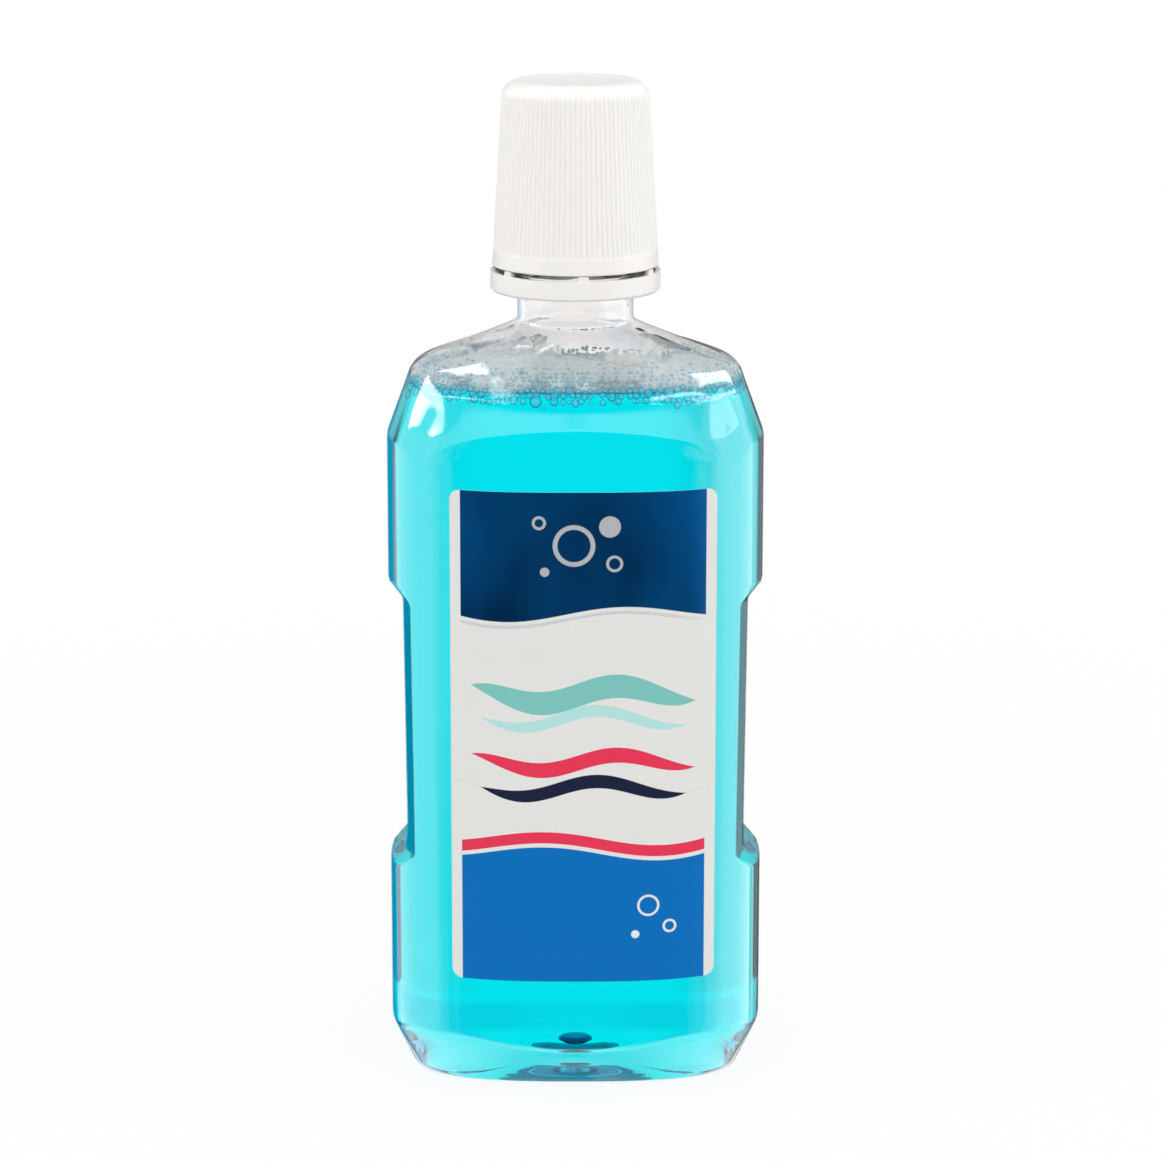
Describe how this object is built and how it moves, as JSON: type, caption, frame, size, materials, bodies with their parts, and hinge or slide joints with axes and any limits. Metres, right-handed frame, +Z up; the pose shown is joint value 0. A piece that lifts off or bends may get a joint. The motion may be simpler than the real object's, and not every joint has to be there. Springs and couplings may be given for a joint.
{
  "type": "mouthwash bottle",
  "caption": "Clear waisted bottle of blue mouthwash with a front and a back label and a ribbed screw-on dosing cap over a tamper band.",
  "frame": {"origin": "middle of the foot, on the surface that the bottle stands on", "axes": "+Z up the neck's axis to the cap, -Y towards the front label, +X to the right of a viewer at the front"},
  "size_m": [0.0814, 0.0554, 0.218],
  "materials": {
    "clear_bottle": "clear glossy blown bottle wall",
    "blue_liquid": "clear cyan liquid",
    "pale_foam": "layer of small wet bubbles",
    "label_film": "satin printed film",
    "seal_liner": "soft matte liner",
    "cup_plastic": "smooth translucent white",
    "cap_plastic": "satin warm white moulding"
  },
  "bodies": {
    "bottle": {"bottle": "clear_bottle", "mouthwash": "blue_liquid", "foam": "pale_foam", "front_label": "label_film", "back_label": "label_film"},
    "seal": {"seal_ring": "seal_liner"},
    "cap": {"dosing_cup": "cup_plastic", "outer_cap": "cap_plastic"},
    "band": {"tamper_band": "cap_plastic"}
  },
  "joints": [
    {"name": "cap_lift", "type": "slide", "parent": "bottle", "child": "seal", "axis": [0, 0, 1], "range_m": [0, 0.01482]},
    {"name": "cap_turn", "type": "hinge", "parent": "seal", "child": "cap", "pos_m": [0, 0, 0.19], "axis": [0, 0, 1], "range_deg": [0, 1260]},
    {"name": "band_turn", "type": "hinge", "parent": "bottle", "child": "band", "pos_m": [0, 0, 0.175], "axis": [0, 0, 1], "continuous": true}
  ],
  "couplings": [
    {"joint": "cap_lift", "follows": "cap_turn", "m_per_rad": 0.00067375}
  ]
}
